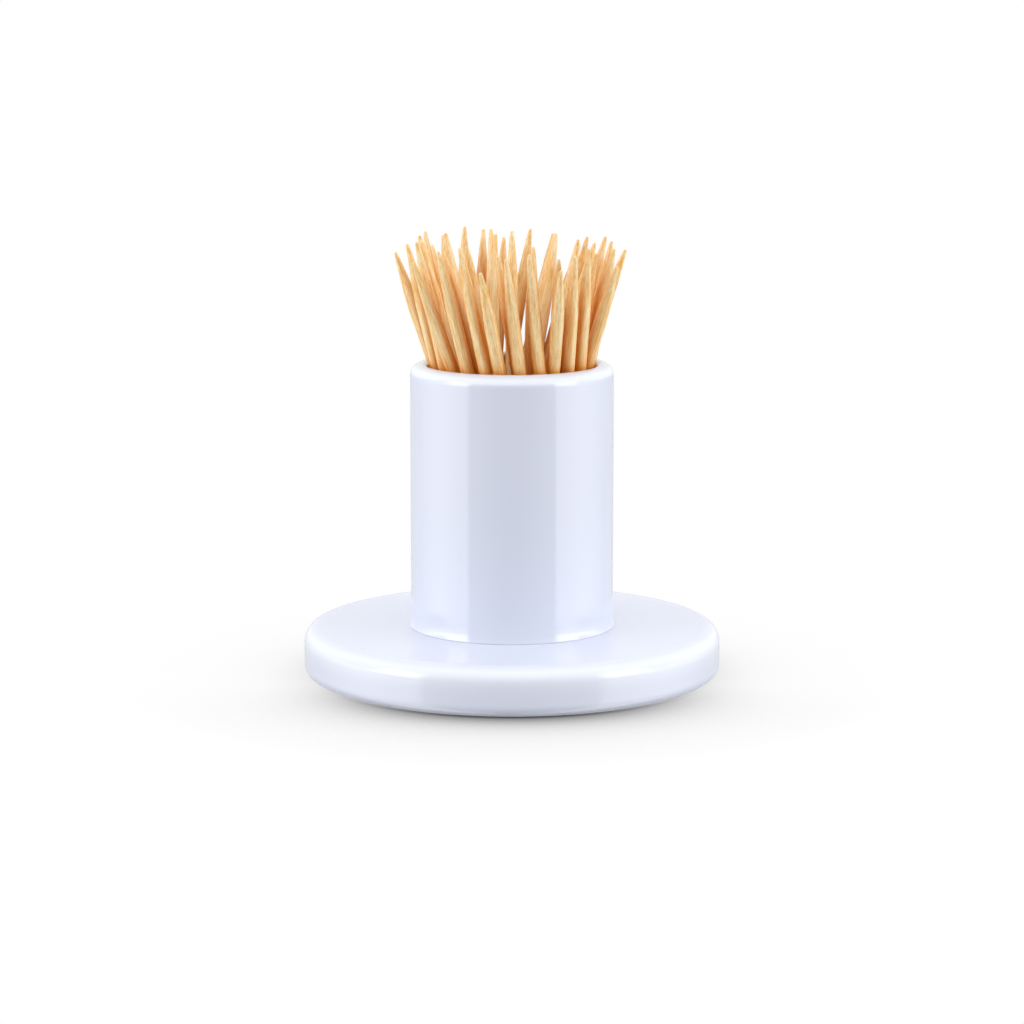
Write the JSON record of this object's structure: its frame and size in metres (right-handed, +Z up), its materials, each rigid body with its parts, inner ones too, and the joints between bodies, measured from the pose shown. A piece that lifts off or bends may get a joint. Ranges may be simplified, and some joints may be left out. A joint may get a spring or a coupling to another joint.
{
  "type": "toothpick holder",
  "caption": "Straight ceramic cup on a wide round base disc, filled with loose round toothpicks that fan out over its rim and draw out one by one.",
  "frame": {"origin": "on the table, under the middle of the base disc", "axes": "+Z up along the axis of the cup and the disc; -Y is the front, to which the toothpicks lean a little"},
  "size_m": [0.068, 0.068, 0.0725],
  "materials": {
    "glazed_ceramic": "glossy",
    "birch_wood": "matte"
  },
  "bodies": {
    "holder": {"cup": "glazed_ceramic", "base_disc": "glazed_ceramic"},
    "toothpick_01": {"toothpick_01": "birch_wood"},
    "toothpick_02": {"toothpick_02": "birch_wood"},
    "toothpick_03": {"toothpick_03": "birch_wood"},
    "toothpick_04": {"toothpick_04": "birch_wood"},
    "toothpick_05": {"toothpick_05": "birch_wood"},
    "toothpick_06": {"toothpick_06": "birch_wood"},
    "toothpick_07": {"toothpick_07": "birch_wood"},
    "toothpick_08": {"toothpick_08": "birch_wood"},
    "toothpick_09": {"toothpick_09": "birch_wood"},
    "toothpick_10": {"toothpick_10": "birch_wood"},
    "toothpick_11": {"toothpick_11": "birch_wood"},
    "toothpick_12": {"toothpick_12": "birch_wood"},
    "toothpick_13": {"toothpick_13": "birch_wood"},
    "toothpick_14": {"toothpick_14": "birch_wood"},
    "toothpick_15": {"toothpick_15": "birch_wood"},
    "toothpick_16": {"toothpick_16": "birch_wood"},
    "toothpick_17": {"toothpick_17": "birch_wood"},
    "toothpick_18": {"toothpick_18": "birch_wood"},
    "toothpick_19": {"toothpick_19": "birch_wood"},
    "toothpick_20": {"toothpick_20": "birch_wood"},
    "toothpick_21": {"toothpick_21": "birch_wood"},
    "toothpick_22": {"toothpick_22": "birch_wood"},
    "toothpick_23": {"toothpick_23": "birch_wood"},
    "toothpick_24": {"toothpick_24": "birch_wood"},
    "toothpick_25": {"toothpick_25": "birch_wood"},
    "toothpick_26": {"toothpick_26": "birch_wood"},
    "toothpick_27": {"toothpick_27": "birch_wood"},
    "toothpick_28": {"toothpick_28": "birch_wood"},
    "toothpick_29": {"toothpick_29": "birch_wood"},
    "toothpick_30": {"toothpick_30": "birch_wood"},
    "toothpick_31": {"toothpick_31": "birch_wood"},
    "toothpick_32": {"toothpick_32": "birch_wood"},
    "toothpick_33": {"toothpick_33": "birch_wood"},
    "toothpick_34": {"toothpick_34": "birch_wood"},
    "toothpick_35": {"toothpick_35": "birch_wood"},
    "toothpick_36": {"toothpick_36": "birch_wood"},
    "toothpick_37": {"toothpick_37": "birch_wood"},
    "toothpick_38": {"toothpick_38": "birch_wood"},
    "toothpick_39": {"toothpick_39": "birch_wood"},
    "toothpick_40": {"toothpick_40": "birch_wood"},
    "toothpick_41": {"toothpick_41": "birch_wood"},
    "toothpick_42": {"toothpick_42": "birch_wood"},
    "toothpick_43": {"toothpick_43": "birch_wood"}
  },
  "joints": [
    {"name": "draw_01", "type": "slide", "parent": "holder", "child": "toothpick_01", "axis": [0.3479, -0.0401, 0.9367], "range_m": [0, 0.07]},
    {"name": "draw_02", "type": "slide", "parent": "holder", "child": "toothpick_02", "axis": [0.2684, 0.185, 0.9454], "range_m": [0, 0.07]},
    {"name": "draw_03", "type": "slide", "parent": "holder", "child": "toothpick_03", "axis": [0.0604, 0.3061, 0.9501], "range_m": [0, 0.07]},
    {"name": "draw_04", "type": "slide", "parent": "holder", "child": "toothpick_04", "axis": [-0.1768, 0.2632, 0.9484], "range_m": [0, 0.07]},
    {"name": "draw_05", "type": "slide", "parent": "holder", "child": "toothpick_05", "axis": [-0.3287, 0.0777, 0.9412], "range_m": [0, 0.07]},
    {"name": "draw_06", "type": "slide", "parent": "holder", "child": "toothpick_06", "axis": [-0.325, -0.1599, 0.9321], "range_m": [0, 0.07]},
    {"name": "draw_07", "type": "slide", "parent": "holder", "child": "toothpick_07", "axis": [-0.1711, -0.3384, 0.9253], "range_m": [0, 0.07]},
    {"name": "draw_08", "type": "slide", "parent": "holder", "child": "toothpick_08", "axis": [0.0604, -0.3781, 0.9238], "range_m": [0, 0.07]},
    {"name": "draw_09", "type": "slide", "parent": "holder", "child": "toothpick_09", "axis": [0.2646, -0.2615, 0.9282], "range_m": [0, 0.07]},
    {"name": "draw_10", "type": "slide", "parent": "holder", "child": "toothpick_10", "axis": [0.1833, -0.1626, 0.9695], "range_m": [0, 0.07]},
    {"name": "draw_11", "type": "slide", "parent": "holder", "child": "toothpick_11", "axis": [0.2191, -0.0167, 0.9756], "range_m": [0, 0.07]},
    {"name": "draw_12", "type": "slide", "parent": "holder", "child": "toothpick_12", "axis": [0.1521, 0.1187, 0.9812], "range_m": [0, 0.07]},
    {"name": "draw_13", "type": "slide", "parent": "holder", "child": "toothpick_13", "axis": [0.0127, 0.1791, 0.9837], "range_m": [0, 0.07]},
    {"name": "draw_14", "type": "slide", "parent": "holder", "child": "toothpick_14", "axis": [-0.1328, 0.1351, 0.9819], "range_m": [0, 0.07]},
    {"name": "draw_15", "type": "slide", "parent": "holder", "child": "toothpick_15", "axis": [-0.2149, 0.008, 0.9766], "range_m": [0, 0.07]},
    {"name": "draw_16", "type": "slide", "parent": "holder", "child": "toothpick_16", "axis": [-0.196, -0.1411, 0.9704], "range_m": [0, 0.07]},
    {"name": "draw_17", "type": "slide", "parent": "holder", "child": "toothpick_17", "axis": [-0.0863, -0.2429, 0.9662], "range_m": [0, 0.07]},
    {"name": "draw_18", "type": "slide", "parent": "holder", "child": "toothpick_18", "axis": [0.0629, -0.2513, 0.9659], "range_m": [0, 0.07]},
    {"name": "draw_19", "type": "slide", "parent": "holder", "child": "toothpick_19", "axis": [0.1954, -0.1909, 0.962], "range_m": [0, 0.07]},
    {"name": "draw_20", "type": "slide", "parent": "holder", "child": "toothpick_20", "axis": [0.247, -0.0307, 0.9685], "range_m": [0, 0.07]},
    {"name": "draw_21", "type": "slide", "parent": "holder", "child": "toothpick_21", "axis": [0.183, 0.1262, 0.975], "range_m": [0, 0.07]},
    {"name": "draw_22", "type": "slide", "parent": "holder", "child": "toothpick_22", "axis": [0.0318, 0.205, 0.9782], "range_m": [0, 0.07]},
    {"name": "draw_23", "type": "slide", "parent": "holder", "child": "toothpick_23", "axis": [-0.1347, 0.1672, 0.9767], "range_m": [0, 0.07]},
    {"name": "draw_24", "type": "slide", "parent": "holder", "child": "toothpick_24", "axis": [-0.2367, 0.0313, 0.9711], "range_m": [0, 0.07]},
    {"name": "draw_25", "type": "slide", "parent": "holder", "child": "toothpick_25", "axis": [-0.2271, -0.1371, 0.9642], "range_m": [0, 0.07]},
    {"name": "draw_26", "type": "slide", "parent": "holder", "child": "toothpick_26", "axis": [-0.1123, -0.2595, 0.9592], "range_m": [0, 0.07]},
    {"name": "draw_27", "type": "slide", "parent": "holder", "child": "toothpick_27", "axis": [0.0538, -0.2805, 0.9583], "range_m": [0, 0.07]},
    {"name": "draw_28", "type": "slide", "parent": "holder", "child": "toothpick_28", "axis": [0.1802, -0.2347, 0.9552], "range_m": [0, 0.07]},
    {"name": "draw_29", "type": "slide", "parent": "holder", "child": "toothpick_29", "axis": [0.2639, -0.0743, 0.9617], "range_m": [0, 0.07]},
    {"name": "draw_30", "type": "slide", "parent": "holder", "child": "toothpick_30", "axis": [0.2245, 0.1037, 0.9689], "range_m": [0, 0.07]},
    {"name": "draw_31", "type": "slide", "parent": "holder", "child": "toothpick_31", "axis": [0.0785, 0.2149, 0.9735], "range_m": [0, 0.07]},
    {"name": "draw_32", "type": "slide", "parent": "holder", "child": "toothpick_32", "axis": [-0.1052, 0.205, 0.9731], "range_m": [0, 0.07]},
    {"name": "draw_33", "type": "slide", "parent": "holder", "child": "toothpick_33", "axis": [-0.2384, 0.0791, 0.9679], "range_m": [0, 0.07]},
    {"name": "draw_34", "type": "slide", "parent": "holder", "child": "toothpick_34", "axis": [-0.2587, -0.1018, 0.9606], "range_m": [0, 0.07]},
    {"name": "draw_35", "type": "slide", "parent": "holder", "child": "toothpick_35", "axis": [-0.1587, -0.2525, 0.9545], "range_m": [0, 0.07]},
    {"name": "draw_36", "type": "slide", "parent": "holder", "child": "toothpick_36", "axis": [0.0139, -0.3045, 0.9524], "range_m": [0, 0.07]},
    {"name": "draw_37", "type": "slide", "parent": "holder", "child": "toothpick_37", "axis": [0.1775, -0.1227, 0.9764], "range_m": [0, 0.07]},
    {"name": "draw_38", "type": "slide", "parent": "holder", "child": "toothpick_38", "axis": [0.1594, 0.0716, 0.9846], "range_m": [0, 0.07]},
    {"name": "draw_39", "type": "slide", "parent": "holder", "child": "toothpick_39", "axis": [-0.0196, 0.1529, 0.988], "range_m": [0, 0.07]},
    {"name": "draw_40", "type": "slide", "parent": "holder", "child": "toothpick_40", "axis": [-0.1787, 0.0377, 0.9832], "range_m": [0, 0.07]},
    {"name": "draw_41", "type": "slide", "parent": "holder", "child": "toothpick_41", "axis": [-0.1579, -0.1561, 0.975], "range_m": [0, 0.07]},
    {"name": "draw_42", "type": "slide", "parent": "holder", "child": "toothpick_42", "axis": [0.0193, -0.2352, 0.9717], "range_m": [0, 0.07]},
    {"name": "draw_43", "type": "slide", "parent": "holder", "child": "toothpick_43", "axis": [0, -0.0436, 0.999], "range_m": [0, 0.07]}
  ]
}
